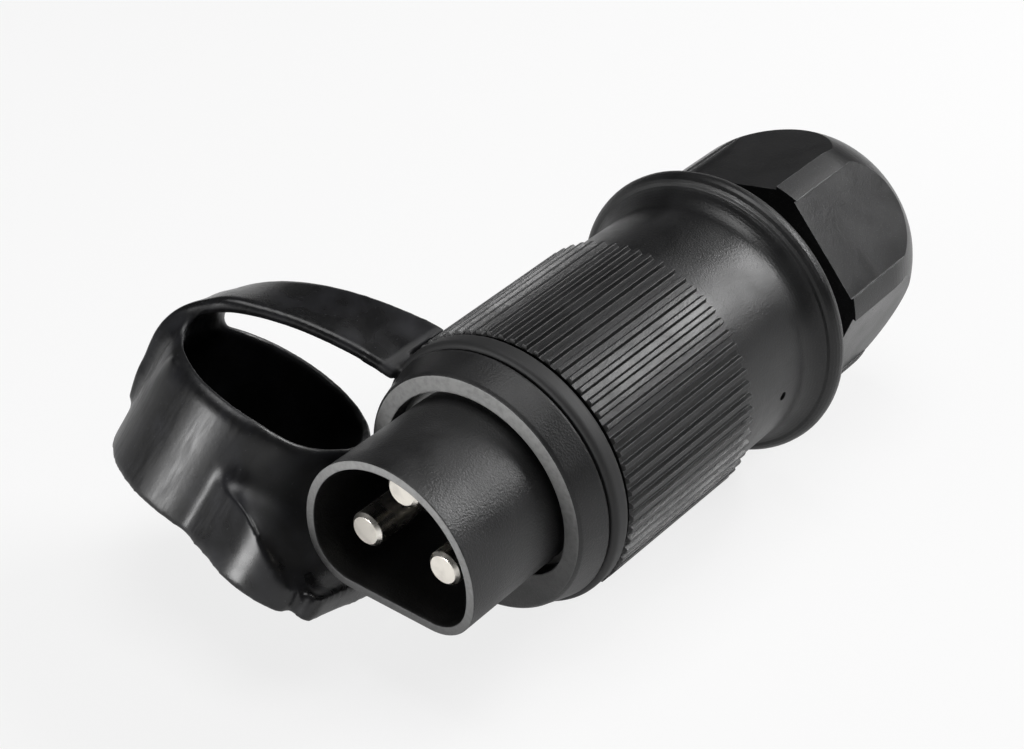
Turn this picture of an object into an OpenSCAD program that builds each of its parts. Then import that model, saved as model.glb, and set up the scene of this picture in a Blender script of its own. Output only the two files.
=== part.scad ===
// Three-pin round plug with a tethered rubber cap and a cable gland.
// The plug's axis is Y: the pins face -Y, the gland nut is at the +Y end, and Z is up.
// The origin is on that axis, at the front rim of the pin shroud. Sizes are in millimetres.

/* [Pin shroud] */
// Outer diameter of the shroud's round side
shroud_d = 28; // [26:0.5:30]
// Wall of the shroud
shroud_wall = 1.2; // [1:0.1:1.6]
// Distance from the axis down to the shroud's flat
shroud_flat = 8.3; // [7.8:0.1:9]
// Radius of the corners between the flat and the round side
shroud_corner = 7; // [5:0.5:8]
// Length from the front rim to the face of the collar
shroud_len = 17.2; // [15:0.2:20]

/* [Contacts] */
// Diameter of a contact pin
pin_d = 5; // [4:0.1:5.4]
// Distance between the two lower pins
pin_pitch = 13; // [12.4:0.1:13.4]
// Distance from the axis down to the lower pins
pin_drop = 0.6; // [0:0.1:1.2]
// Height of the upper pin above the lower two
pin_rise = 9.4; // [9:0.1:9.8]
// Distance from the rim back to the pin tips
pin_recess = 3; // [2:0.1:5]
// Bevel round a pin's tip
pin_bevel = 0.5; // [0.2:0.1:0.8]
// Diameter of a contact's terminal barrel
barrel_d = 7.4; // [7:0.1:7.8]
// Length of a terminal barrel
barrel_len = 16; // [14:0.5:18]
// Diameter of the hole for the wire
wire_d = 4.2; // [3:0.1:4.6]
// Depth of the hole for the wire
wire_depth = 10; // [8:0.5:11]
// Thread diameter of a terminal screw
clamp_screw_d = 3.5; // [3:0.1:4]
// Length of a terminal screw's shank
clamp_screw_len = 3.6; // [3:0.1:4.2]

/* [Contact carrier] */
// Diameter of the front collar at its face
collar_d = 35.6; // [35:0.1:36.4]
// Diameter of the collar at its rear, next to the loop
collar_rear_d = 38; // [37:0.1:38.4]
// Width of the front collar along the axis
collar_w = 4.5; // [4:0.1:6]
// Bevel round the collar's front edge
collar_bevel = 0.4; // [0.2:0.1:0.9]
// Width of the recess between the shroud and the collar
moat_w = 1.1; // [0.8:0.1:1.6]
// Depth of that recess
moat_depth = 2.8; // [2:0.1:3.4]
// Thickness of the wall that carries the contacts, from the floor of the shroud
web_len = 6.4; // [5:0.1:8]
// Diameter of the spigot that enters the housing
spigot_d = 32.6; // [32:0.1:33]
// Length of the spigot behind the collar
spigot_len = 9.2; // [8.6:0.1:11]
// Thickness of the carrier's O-ring
oring_t = 1.76; // [1.5:0.02:1.9]
// Width of the lug that takes the carrier's screw
lug_w = 8; // [7:0.5:10]
// Length of that lug
lug_len = 10; // [9:0.5:12]

/* [Housing] */
// Diameter over the ribs at the front of the grip
grip_front_d = 40.1; // [39.4:0.1:40.6]
// Diameter over the ribs at the rear of the grip
grip_rear_d = 40.8; // [40.4:0.1:42]
// Length of the ribbed grip
grip_len = 28.3; // [26:0.1:32]
// Number of ribs
rib_count = 64; // [48:1:72]
// Height of a rib
rib_h = 0.7; // [0.4:0.05:0.9]
// Width of a rib at its root
rib_root_w = 1.05; // [0.8:0.05:1.2]
// Width of a rib at its crest
rib_crest_w = 0.5; // [0.3:0.05:0.7]
// Depth of the front bore
front_bore_len = 17; // [16:0.5:20]
// How far the smooth waist behind the ribs lies below their roots
waist_step = 0.4; // [0.2:0.1:0.8]
// Length of the waist behind the ribs, up to the flange's lip
waist_len = 19.7; // [17:0.1:24]
// How far the flange's lip stands out from the waist
flange_step = 3.6; // [3:0.1:4.4]
// Radius of the flange's rounded lip
lip_r = 1.6; // [1.2:0.1:2]
// Radius of the hollow curve from the waist to the flange
waist_fillet = 4; // [3:0.1:5]
// Diameter of the gland neck over its thread
neck_d = 28.8; // [28:0.1:29.4]
// Length of the gland neck behind the flange
neck_len = 18.7; // [17:0.1:20]
// Length of the cone inside, from the wiring space to the gland
cone_len = 6; // [4:0.5:8]
// Diameter of the small moulding mark on the waist
gate_d = 1.4; // [1:0.1:2]

/* [Cable gland] */
// Diameter over the nut's rounded corners
nut_d = 40; // [39.6:0.1:40.6]
// Distance across the nut's flats
nut_flats = 35.4; // [35:0.1:36]
// Width of one flat
nut_flat_w = 16.6; // [16:0.1:17]
// Gap between the flange and the nut with the gland slack
nut_gap = 7.2; // [6:0.1:9]
// Length of the nut
nut_len = 24.5; // [23:0.1:26]
// Length of the nut's straight part
nut_straight = 11.5; // [10:0.1:13]
// Radius of the dome behind the straight part
dome_r = 22; // [20:0.5:30]
// Radius of the dome's rear edge
dome_edge_r = 3.5; // [3:0.1:4]
// Diameter of the nut's cable opening
nut_opening_d = 18.6; // [18:0.1:19.4]
// Thread pitch of the neck and the nut
thread_pitch = 1.5; // [1:0.5:2]
// How far the nut's thread runs past the end of the neck
thread_runout = 3; // [3:0.1:4]
// Thickness of the nut's rear wall
nut_wall = 3; // [2.6:0.1:3.4]
// Turn of the nut's corners about the axis
nut_clock = 11; // [0:1:60]
// Diameter of the cable hole in the gland's seal
cable_d = 12; // [10:0.5:13]
// Wall of the gland's seal
seal_wall = 2.6; // [2:0.1:3]
// Wall of the clamping insert
claw_wall = 2.4; // [2:0.1:2.6]
// Number of fingers on the clamping insert
claw_count = 12; // [8:1:16]
// Depth of the clamping insert in the neck
claw_seat = 10; // [9:0.1:11]
// Length of the fingers behind the neck
claw_reach = 6; // [5:0.1:6.4]
// Thickness of the slip ring
slip_t = 1.6; // [1.2:0.1:2]

/* [Cap and strap] */
// Diameter of the cap's bore, a stretch fit on the shroud
cap_bore_d = 27.6; // [25:0.1:29]
// Wall of the cap
cap_wall = 1.9; // [1.5:0.1:2.4]
// Length of the cap
cap_len = 18.8; // [17:0.1:20]
// Thickness of the cap's closed end
cap_end_t = 2.6; // [2:0.1:3.4]
// Place of the middle of the cap's mouth
cap_mouth = [-31.4, 13.4, 6.4];
// Lean of the cap's mouth from straight up
cap_lean = 33; // [28:1:36]
// Compass direction of that lean, from X towards Y
cap_heading = 59; // [54:1:64]
// Turn of the cap about its own axis
cap_turn = -51.4; // [-56:0.2:-46]
// Distance from the cap's axis to the end of the pull tab
tab_reach = 25.9; // [25:0.1:28]
// Radius of the two lobes of the pull tab
lobe_r = 10; // [9:0.1:10.6]
// Distance of the lobes' centres along the tab
lobe_along = 15.9; // [15:0.1:16.6]
// Distance of the lobes' centres from the tab's middle
lobe_aside = 8.1; // [7.4:0.1:8.8]
// Height of the tab's thick root
tab_root_h = 9.8; // [8:0.1:11]
// Thickness of the tab's lip
tab_lip_h = 4.2; // [3.4:0.1:5]
// Width of the tab's lip
tab_lip_w = 26.8; // [24:0.2:28]
// Length of the tab's lip
tab_lip_len = 3; // [2.6:0.1:3.4]
// Height of the hollow curve that joins the tab's top to the cup's wall
saddle_h = 11.4; // [10:0.1:12]
// Width of the notch beside the lip
notch_w = 0.7; // [0.5:0.1:1]
// Depth of that notch
notch_depth = 3; // [2:0.1:4]
// Width of the strap
strap_w = 12; // [10:0.2:13]
// Thickness of the strap
strap_t = 2; // [1.6:0.1:2.4]
// Length of the strap's root down the cap's wall
strap_root = 13; // [11:0.5:14]
// Distance below the cap's rim at which the strap starts to bend
strap_leave = 4.5; // [3:0.1:6]
// How far the strap's root stands out of the cap's wall at its lower end
strap_toe = 0.2; // [0.1:0.1:0.5]
// How far it stands out where it starts to bend
strap_proud = 1.5; // [1:0.1:1.7]
// How straight the strap rises before it bends over
strap_rise = 15.4; // [14.4:0.2:16.4]
// How far the strap lifts and swings on its way from the loop
strap_swing = [-5.2, -0.2, 2.6];
// Angle at which the strap leaves the loop, above the horizontal
strap_angle = 30; // [28:0.5:32]
// How far the strap's middle sits behind the loop's middle
strap_shift = 3.6; // [2.6:0.1:4]
// Outer diameter of the loop
loop_d = 39.6; // [38.6:0.1:39.8]
// Width of the loop along the axis
loop_w = 3.1; // [2.6:0.1:3.6]

/* [Clearances] */
// Radial gap between pieces that are fitted together
fit_gap = 0.05; // [0.02:0.01:0.1]
// Radial gap between the nut's thread and the neck's
thread_gap = 0.08; // [0.05:0.01:0.1]
// Gap between the loop and the pieces it turns between
turn_gap = 0.45; // [0.3:0.05:0.5]
// Gap between the strap and the nose of the plug
strap_gap = 0.5; // [0.3:0.1:0.8]
// Gap between the slip ring and the nut
slip_gap = 0.1; // [0.05:0.05:0.2]

/* [Hidden] */
$fn = 96;

// A cut runs this far past the face that it opens
over = 1;

// Stations along the axis, from the front rim
collar_rear = shroud_len + collar_w;
loop_y = collar_rear + turn_gap;
housing_y = loop_y + loop_w + turn_gap;
web_rear = shroud_len + web_len;
spigot_rear = collar_rear + spigot_len;
grip_end = housing_y + grip_len;
lip_y = grip_end + waist_len;
flange_rear = lip_y + lip_r;
neck_end = flange_rear + neck_len;
nut_y = flange_rear + nut_gap;
nut_end = nut_y + nut_len;

// Pin shroud
shroud_r = shroud_d / 2;

// Contacts: place of each pin in X and Z, and the turn of its terminal screw from X towards Z
pin_top = [0, pin_rise - pin_drop];
pin_left = [-pin_pitch / 2, -pin_drop];
pin_right = [pin_pitch / 2, -pin_drop];
turn_top = 90;
turn_left = 180;
turn_right = 0;
pin_root_d = pin_d + 0.4;
barrel_end = web_rear + barrel_len;
clamp_screw_y = barrel_end - wire_depth / 2;
clamp_head_d = clamp_screw_d * 1.5;
clamp_head_h = 1.8;
slot_w = 0.9;
slot_depth = 0.9;

// Carrier: O-ring groove, and the lug with its screw
spigot_r = spigot_d / 2;
groove_w = oring_t * 1.45;
groove_y = spigot_rear - groove_w - 1.4;
bore_r = spigot_r + fit_gap;
oring_mid_r = bore_r - fit_gap - oring_t / 2;
groove_r = oring_mid_r - oring_t / 2 - fit_gap;
lug_h = 6.4;
lug_y = spigot_rear + lug_len * 0.55;
fix_screw_d = 3;
fix_head_d = 5.6;
fix_head_h = 1.6;
fix_seat_r = bore_r + 1;
fix_screw_len = lug_h;

// Housing
front_root_r = grip_front_d / 2 - rib_h;
rear_root_r = grip_rear_d / 2 - rib_h;
rib_slope = atan((rear_root_r - front_root_r) / grip_len);
front_bore_end = housing_y + front_bore_len;
chamber_r = bore_r - 0.8;
waist_r = rear_root_r - waist_step;
flange_r = waist_r + flange_step;
neck_r = neck_d / 2;
thread_root_r = neck_r - thread_pitch / 2;
thread_turns = floor(neck_len / thread_pitch);
cone_end = lip_y - lip_r;
cone_start = cone_end - cone_len;
rib_angle = 360 / rib_count;
gate_y = lip_y - waist_len / 2;
gate_angle = -4.7;
gate_depth = 0.5;

// Gland, from the cable outwards
cable_r = cable_d / 2;
seal_r = cable_r + seal_wall;
claw_in_r = seal_r + fit_gap;
claw_r = claw_in_r + claw_wall;
socket_r = claw_r + fit_gap;
throat_r = claw_in_r + 0.8;
claw_y = neck_end - claw_seat;
claw_end = neck_end + claw_reach;
claw_tip_r = claw_r - 0.7;
claw_slot_w = 1.2;
claw_slot_y = neck_end - claw_seat * 0.4;
seal_end = claw_end - 1.5;
nut_r = nut_d / 2;
nut_thread_r = neck_r + thread_gap;
nut_wall_end = nut_end - nut_wall;
slip_y = nut_wall_end - slip_gap - slip_t;
slip_in_r = nut_opening_d / 2 + 0.1;
slip_r = slip_in_r + 3;
pocket_r = slip_r + slip_gap * 2;
pocket_y = slip_y - 0.4;
nut_thread_end = neck_end + thread_runout;
opening_bevel = 0.8;

// Cap: its own directions, with its axis out of the mouth and the tab along its x
function unit(v) = v / norm(v);
function turn_z(v, a) = [v.x * cos(a) - v.y * sin(a), v.x * sin(a) + v.y * cos(a), v.z];
function turn_y(v, a) = [v.x * cos(a) + v.z * sin(a), v.y, v.z * cos(a) - v.x * sin(a)];
function cap_dir(v) = turn_z(turn_y(turn_z(v, cap_turn), cap_lean), cap_heading);
cap_across = cap_dir([0, 1, 0]);
cap_bore_r = cap_bore_d / 2;
cap_r = cap_bore_r + cap_wall;
lobe_lean = 19;
lip_start = tab_reach - tab_lip_len;
lip_corner = 1.2;
rim_round = 0.6;

// Strap: a straight root on the cap's wall, then one curve over to the loop
strap_steps = 28;
strap_edge = 0.5;
loop_bore_r = spigot_r + turn_gap;
loop_r = loop_d / 2;
loop_bevel = 0.4;
loop_mid = loop_y + loop_w / 2;
strap_end_r = loop_bore_r + strap_t / 2;
toe_point = cap_mouth + cap_dir([strap_t / 2 - strap_toe - cap_r, 0, -strap_root]);
leave_point = cap_mouth + cap_dir([strap_t / 2 - strap_proud - cap_r, 0, -strap_leave]);
root_dir = unit(leave_point - toe_point);
loop_point = [-strap_end_r * cos(strap_angle), loop_mid + strap_shift, strap_end_r * sin(strap_angle)];
strap_curve = [leave_point, leave_point + root_dir * strap_rise, loop_point + strap_swing, loop_point];
strap_end_across = [0, 1, 0.13];

function bezier(p, t) = p[0] * pow(1 - t, 3) + p[1] * 3 * t * pow(1 - t, 2)
                      + p[2] * 3 * t * t * (1 - t) + p[3] * pow(t, 3);
function bezier_dir(p, t) = unit((p[1] - p[0]) * pow(1 - t, 2) + (p[2] - p[1]) * 2 * t * (1 - t)
                                 + (p[3] - p[2]) * t * t);
// Points on an arc; one that carries on from another starts at its second point
function arc(x, y, r, a0, a1, n, first = 0) = [for (i = [first:n]) [x + r * cos(a0 + (a1 - a0) * i / n),
                                                                    y + r * sin(a0 + (a1 - a0) * i / n)]];

// Turns a shape drawn on Z so that it stands on the plug's axis
module on_axis(y = 0) {
    translate([0, y, 0]) rotate([-90, 0, 0]) children();
}

// A solid of revolution about the plug's axis: points are [radius, station]
module turned(points) {
    rotate([-90, 0, 0]) rotate_extrude() polygon(points);
}

// Places a shape, drawn along +X from the axis, at a station and an angle from X towards Z
module radial(y, angle) {
    translate([0, y, 0]) rotate([0, -angle, 0]) children();
}

// A round face with a flat underneath, joined by corner arcs
module rounded_d(r, flat, corner) {
    corner_y = flat - corner;
    corner_x = sqrt(pow(r - corner, 2) - corner_y * corner_y);
    reach = 2 * r / (r - corner);
    intersection() {
        circle(r);
        polygon([[0, 0], [corner_x * reach, corner_y * reach], [2 * r, -2 * r], [-2 * r, -2 * r],
                 [-corner_x * reach, corner_y * reach]]);
    }
    for (side = [-1, 1]) translate([side * corner_x, corner_y]) circle(corner);
    polygon([[0, 0], [corner_x, corner_y], [corner_x, flat], [-corner_x, flat], [-corner_x, corner_y]]);
}

// Ribbed grip, waist, flange and gland neck
module housing() {
    color([0.09, 0.09, 0.1]) difference() {
        housing_shell();
        for (i = [0:rib_count - 1]) rotate([0, (i + 0.5) * rib_angle, 0]) grip_flute();
        turned([[0, housing_y - over], [bore_r, housing_y - over], [bore_r, front_bore_end],
                [chamber_r, front_bore_end], [chamber_r, cone_start], [throat_r, cone_end],
                [throat_r, claw_y], [socket_r, claw_y], [socket_r, neck_end + over], [0, neck_end + over]]);
        radial(lug_y, -90) fixing_screw_hole();
        radial(gate_y, gate_angle) translate([waist_r - gate_depth, 0, 0]) rotate([0, 90, 0])
            cylinder(d = gate_d, h = 2 * gate_depth);
    }
}

// Outside of the housing before the flutes between its ribs are cut
module housing_shell() {
    fillet_r = waist_r + waist_fillet;
    fillet_end = acos((fillet_r - flange_r + lip_r) / waist_fillet);
    fillet_y = lip_y - lip_r - waist_fillet * sin(fillet_end);
    turned(concat([[0, housing_y], [grip_front_d / 2, housing_y], [grip_rear_d / 2, grip_end],
                   [waist_r, grip_end + rib_h / 2]],
                  arc(fillet_r, fillet_y, -waist_fillet, 0, -fillet_end, 8),
                  arc(flange_r - lip_r, lip_y, lip_r, -90, 90, 10, 1),
                  neck_thread(), [[thread_root_r, neck_end], [0, neck_end]]));
}

// Outline of the neck's thread, from the flange to the end of the neck
function neck_thread() =
    concat([[thread_root_r, flange_rear]],
           [for (i = [thread_turns:-1:1], p = [[thread_root_r, 0], [neck_r, 0.4], [neck_r, 0.6]])
            [p.x, neck_end - (i - p.y) * thread_pitch]]);

// The flute between two ribs, along the slope of the grip, at the top of the housing
module grip_flute() {
    floor_w = 2 * front_root_r * sin(rib_angle / 2) - rib_root_w;
    widen = (rib_root_w - rib_crest_w) / 2;
    translate([0, housing_y, front_root_r]) rotate([rib_slope, 0, 0]) rotate([-90, 0, 0])
        translate([0, 0, -over]) linear_extrude(grip_len + 2 * over)
            polygon([[-floor_w / 2, 0], [-floor_w / 2 - 2 * widen, -2 * rib_h],
                     [floor_w / 2 + 2 * widen, -2 * rib_h], [floor_w / 2, 0]]);
}

// Hole and head recess for the carrier's screw, along +X
module fixing_screw_hole() {
    rotate([0, 90, 0]) {
        cylinder(d = fix_screw_d + 4 * fit_gap, h = grip_rear_d);
        translate([0, 0, fix_seat_r]) cylinder(d = fix_head_d + 4 * fit_gap, h = grip_rear_d);
    }
}

// Shroud, collar and spigot that carry the contacts
module contact_carrier() {
    color([0.1, 0.1, 0.11]) difference() {
        union() {
            difference() {
                turned([[0, shroud_len], [collar_d / 2 - collar_bevel, shroud_len],
                        [collar_d / 2, shroud_len + collar_bevel], [collar_rear_d / 2, collar_rear],
                        [spigot_r, collar_rear], [spigot_r, groove_y], [groove_r, groove_y],
                        [groove_r, groove_y + groove_w], [spigot_r, groove_y + groove_w],
                        [spigot_r, spigot_rear], [0, spigot_rear]]);
                on_axis(shroud_len - over) linear_extrude(moat_depth + over)
                    rounded_d(shroud_r + moat_w, shroud_flat + moat_w, shroud_corner + moat_w);
            }
            on_axis() linear_extrude(shroud_len + moat_depth)
                rounded_d(shroud_r, shroud_flat, shroud_corner);
            carrier_lug();
        }
        on_axis(-over) linear_extrude(shroud_len + over)
            rounded_d(shroud_r - shroud_wall, shroud_flat - shroud_wall, shroud_corner - shroud_wall);
        for (place = [pin_top, pin_left, pin_right]) translate([place.x, 0, place.y]) {
            on_axis(shroud_len - over) cylinder(d = pin_root_d + 2 * fit_gap, h = web_len + 2 * over);
            on_axis(web_rear) cylinder(d = barrel_d + 2 * fit_gap, h = barrel_len);
        }
        radial(lug_y, -90) rotate([0, 90, 0]) cylinder(d = fix_screw_d + 2 * fit_gap, h = spigot_d);
    }
}

// Lug under the spigot for the carrier's screw
module carrier_lug() {
    intersection() {
        translate([-lug_w / 2, spigot_rear - over, -spigot_r]) cube([lug_w, lug_len + over, lug_h]);
        on_axis(spigot_rear - over) cylinder(r = spigot_r, h = lug_len + over);
    }
}

// O-ring in the spigot's groove
module carrier_seal() {
    color([0.06, 0.06, 0.06]) on_axis(groove_y + groove_w / 2) rotate_extrude()
        translate([oring_mid_r, 0]) circle(d = oring_t, $fn = 32);
}

// Pan-head screw that holds the carrier in the housing
module carrier_screw() {
    color([0.7, 0.7, 0.72]) radial(lug_y, -90) translate([fix_seat_r, 0, 0]) rotate([0, 90, 0])
        slotted_screw(fix_screw_d, fix_screw_len, fix_head_d, fix_head_h);
}

// A slotted screw: its head stands on Z = 0 and its shank goes down
module slotted_screw(shank_d, shank_len, head_d, head_h) {
    difference() {
        union() {
            translate([0, 0, -shank_len]) cylinder(d = shank_d, h = shank_len);
            cylinder(d = head_d, h = head_h);
        }
        translate([-head_d, -slot_w / 2, head_h - slot_depth]) cube([2 * head_d, slot_w, over + slot_depth]);
    }
}

// A turned contact: pin, shoulder and terminal barrel with its wire hole
module contact_pin(place, turn) {
    color([0.8, 0.78, 0.74]) translate([place.x, 0, place.y]) difference() {
        turned([[0, pin_recess], [pin_d / 2 - pin_bevel, pin_recess], [pin_d / 2, pin_recess + pin_bevel],
                [pin_d / 2, shroud_len], [pin_root_d / 2, shroud_len], [pin_root_d / 2, web_rear],
                [barrel_d / 2, web_rear], [barrel_d / 2, barrel_end], [0, barrel_end]]);
        on_axis(barrel_end - wire_depth) cylinder(d = wire_d, h = wire_depth + over);
        radial(clamp_screw_y, turn) rotate([0, 90, 0])
            cylinder(d = clamp_screw_d + 2 * fit_gap, h = barrel_d);
    }
}

// The screw that clamps a wire in a contact's barrel
module terminal_screw(place, turn) {
    color([0.72, 0.72, 0.74]) translate([place.x, 0, place.y]) radial(clamp_screw_y, turn)
        translate([barrel_d / 2 + fit_gap, 0, 0]) rotate([0, 90, 0])
            slotted_screw(clamp_screw_d, clamp_screw_len, clamp_head_d, clamp_head_h);
}

// Rubber sleeve that grips the cable
module gland_seal() {
    color([0.15, 0.15, 0.15]) turned([[cable_r, claw_y], [seal_r, claw_y], [seal_r, seal_end],
                                      [cable_r + 0.8, seal_end], [cable_r, seal_end - 0.8]]);
}

// Clamping insert with fingers round the seal
module gland_claw() {
    color([0.13, 0.13, 0.14]) difference() {
        turned([[claw_in_r, claw_y], [claw_r, claw_y], [claw_r, neck_end],
                [claw_tip_r, claw_end], [claw_in_r, claw_end]]);
        for (i = [0:claw_count - 1]) radial(claw_slot_y, i * 360 / claw_count)
            translate([0, 0, -claw_slot_w / 2]) cube([claw_r + over, claw_end, claw_slot_w]);
    }
}

// Slip ring that the nut turns against
module gland_thrust_ring() {
    color([0.85, 0.85, 0.82]) turned([[slip_in_r, slip_y], [slip_r, slip_y],
                                      [slip_r, slip_y + slip_t], [slip_in_r, slip_y + slip_t]]);
}

// Domed nut with six flats between raised corner strips
module gland_nut() {
    dome_y = nut_y + nut_straight;
    dome_x = nut_r - dome_r;
    edge_y = nut_end - dome_edge_r;
    edge_x = dome_x + sqrt(pow(dome_r - dome_edge_r, 2) - pow(edge_y - dome_y, 2));
    edge_angle = atan2(edge_y - dome_y, edge_x - dome_x);
    opening_r = nut_opening_d / 2;
    color([0.08, 0.08, 0.09]) difference() {
        turned(concat([[nut_thread_r + 1, nut_y], [nut_r, nut_y]],
                      arc(dome_x, dome_y, dome_r, 0, edge_angle, 12),
                      arc(edge_x, edge_y, dome_edge_r, edge_angle, 90, 8, 1),
                      [[opening_r + opening_bevel, nut_end], [opening_r, nut_end - opening_bevel],
                       [opening_r, nut_wall_end], [pocket_r, nut_wall_end], [pocket_r, pocket_y],
                       [nut_thread_r, nut_thread_end], [nut_thread_r, nut_y + 1]]));
        for (i = [0:5]) radial(nut_y - over, nut_clock + 30 + i * 60)
            translate([nut_flats / 2, 0, -nut_flat_w / 2]) cube([nut_r, nut_len + 2 * over, nut_flat_w]);
    }
}

// Places a shape drawn with the cap's mouth at Z = 0 where the cap hangs
module at_cap() {
    translate(cap_mouth) rotate([0, 0, cap_heading]) rotate([0, cap_lean, 0]) rotate([0, 0, cap_turn])
        children();
}

// Cup, pull tab, strap and loop, moulded as one
module protective_cap() {
    color([0.11, 0.11, 0.12]) {
        at_cap() cap_cup();
        at_cap() strap_pad();
        difference() {
            strap_band();
            nose_clearance();
            cap_bore_clearance();
        }
        turned([[loop_bore_r, loop_y], [loop_r - loop_bevel, loop_y], [loop_r, loop_y + loop_bevel],
                [loop_r, loop_y + loop_w], [loop_bore_r, loop_y + loop_w]]);
    }
}

// The cup with its tab, mouth at Z = 0 and closed end below
module cap_cup() {
    difference() {
        translate([0, 0, -cap_len]) {
            rotate_extrude() polygon([[0, 0], [cap_r, 0], [cap_r, cap_len - rim_round],
                                      [cap_r - rim_round, cap_len], [0, cap_len]]);
            pull_tab();
        }
        translate([0, 0, cap_end_t - cap_len]) cylinder(r = cap_bore_r, h = cap_len);
        rotate_extrude() polygon([[cap_bore_r - over, -rim_round - over],
                                  [cap_bore_r + rim_round + over, over], [cap_bore_r - over, over]]);
    }
}

// Tab on the closed end: two thick lobes that slope to a thin lip
module pull_tab() {
    slope_start = lobe_along * 0.7;
    slope_end = tab_lip_h * 0.85;
    slope = lip_start - slope_start;
    drop = tab_root_h - slope_end;
    hollow = lip_start - cap_r;
    fall = saddle_h - slope_end;
    saddle = [[lip_start, slope_end], [lip_start - hollow * 0.4, slope_end + fall * 0.25],
              [cap_r + hollow * 0.25, slope_end + fall * 0.5], [cap_r, saddle_h]];
    intersection() {
        linear_extrude(tab_root_h) tab_outline();
        rotate([90, 0, 0]) linear_extrude(4 * cap_r, center = true)
            polygon(concat([[0, 0], [lip_start, 0]],
                           [for (t = [1:-0.1:0])
                            [slope_start + slope * t, slope_end + drop * pow(cos(90 * t), 1.15)]],
                           [[0, tab_root_h]]));
    }
    intersection() {
        linear_extrude(saddle_h) tab_outline();
        rotate_extrude() polygon(concat([[0, 0], [lip_start, 0]],
                                        [for (t = [0:0.125:1]) bezier(saddle, t)], [[0, saddle_h]]));
    }
    linear_extrude(tab_lip_h) tab_lip();
}

// The tab's lobes, with straight sides that come out of the cup's wall
module tab_outline() {
    start_y = lobe_aside + lobe_r * cos(lobe_lean) - (lobe_along - lobe_r * sin(lobe_lean)) * tan(lobe_lean);
    polygon(concat([[0, -start_y]], arc(lobe_along, -lobe_aside, lobe_r, -90 - lobe_lean, 0, 16),
                   arc(lobe_along, lobe_aside, lobe_r, 0, 90 + lobe_lean, 16), [[0, start_y]]));
}

// The thin lip, with a notch at each side between it and the lobes
module tab_lip() {
    half = tab_lip_w / 2;
    difference() {
        union() {
            translate([lobe_along, -half]) square([tab_reach - lobe_along - lip_corner, tab_lip_w]);
            translate([lobe_along, lip_corner - half])
                square([tab_reach - lobe_along, tab_lip_w - 2 * lip_corner]);
            for (side = [-1, 1]) translate([tab_reach - lip_corner, side * (half - lip_corner)])
                circle(lip_corner);
        }
        for (side = [-1, 1]) translate([lip_start - over, side * half - (side + 1) / 2 * notch_depth])
            square([notch_w + over, notch_depth]);
    }
}

// The strap as a band swept from the cap's wall to the loop
module strap_band() {
    half_w = strap_w / 2;
    half_t = strap_t / 2;
    section = [[half_w, half_t - strap_edge], [half_w - strap_edge, half_t], [strap_edge - half_w, half_t],
               [-half_w, half_t - strap_edge], [-half_w, strap_edge - half_t], [strap_edge - half_w, -half_t],
               [half_w - strap_edge, -half_t], [half_w, strap_edge - half_t]];
    sides = len(section);
    rings = strap_steps + 2;
    function station(i) = i == 0 ? toe_point : bezier(strap_curve, (i - 1) / strap_steps);
    function along(i) = i == 0 ? root_dir : bezier_dir(strap_curve, (i - 1) / strap_steps);
    function across(i) = let (t = max(0, i - 1) / strap_steps, d = along(i),
                              w = cap_across * (1 - t) + strap_end_across * t)
                         unit(w - d * (w * d));
    points = [for (i = [0:rings - 1], p = section)
              station(i) + across(i) * p.x + cross(along(i), across(i)) * p.y];
    skin = [for (i = [0:rings - 2], j = [0:sides - 1], half = [0, 1])
            let (a = i * sides + j, b = i * sides + (j + 1) % sides)
            half == 0 ? [a, a + sides, b] : [b, a + sides, b + sides]];
    first = [for (j = [0:sides - 1]) j];
    last = [for (j = [sides - 1:-1:0]) (rings - 1) * sides + j];
    polyhedron(points, concat([first, last], skin));
}

// Fills the wedge between the strap's flat root and the cup's round wall
module strap_pad() {
    inside = cap_bore_r + cap_wall / 4;
    middle = strap_t / 2 - cap_r;
    rotate([90, 0, 0]) linear_extrude(strap_w - 3 * strap_edge, center = true)
        polygon([[-inside, over - strap_root], [middle - strap_toe, over - strap_root],
                 [middle - strap_proud, -strap_leave], [-inside, -strap_leave]]);
}

// Room for the collar, the spigot and the grip to pass the strap as the loop turns
module nose_clearance() {
    far = cap_len * 4;
    collar_room = collar_rear_d / 2 + strap_gap;
    grip_room = grip_front_d / 2 + strap_gap;
    turned([[0, -far], [collar_room, -far], [collar_room, loop_y], [loop_bore_r, loop_y],
            [loop_bore_r, loop_y + loop_w], [grip_room, loop_y + loop_w], [grip_room, far], [0, far]]);
}

// Keeps the strap's root out of the cap's bore
module cap_bore_clearance() {
    at_cap() translate([0, 0, -cap_len]) cylinder(r = cap_bore_r + cap_wall / 4, h = cap_len);
}

module contact_pin_top() { contact_pin(pin_top, turn_top); }
module contact_pin_left() { contact_pin(pin_left, turn_left); }
module contact_pin_right() { contact_pin(pin_right, turn_right); }
module terminal_screw_top() { terminal_screw(pin_top, turn_top); }
module terminal_screw_left() { terminal_screw(pin_left, turn_left); }
module terminal_screw_right() { terminal_screw(pin_right, turn_right); }

housing();
contact_carrier();
carrier_seal();
carrier_screw();
contact_pin_top();
contact_pin_left();
contact_pin_right();
terminal_screw_top();
terminal_screw_left();
terminal_screw_right();
gland_seal();
gland_claw();
gland_thrust_ring();
gland_nut();
protective_cap();
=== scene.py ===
"""Dresses the three-pin plug: black mouldings, plated pins and a soft rubber cap, in a pale studio."""

import logging
import math
from dataclasses import dataclass, field
from enum import Enum

import bmesh
import bpy
from mathutils import Matrix, Vector


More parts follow.
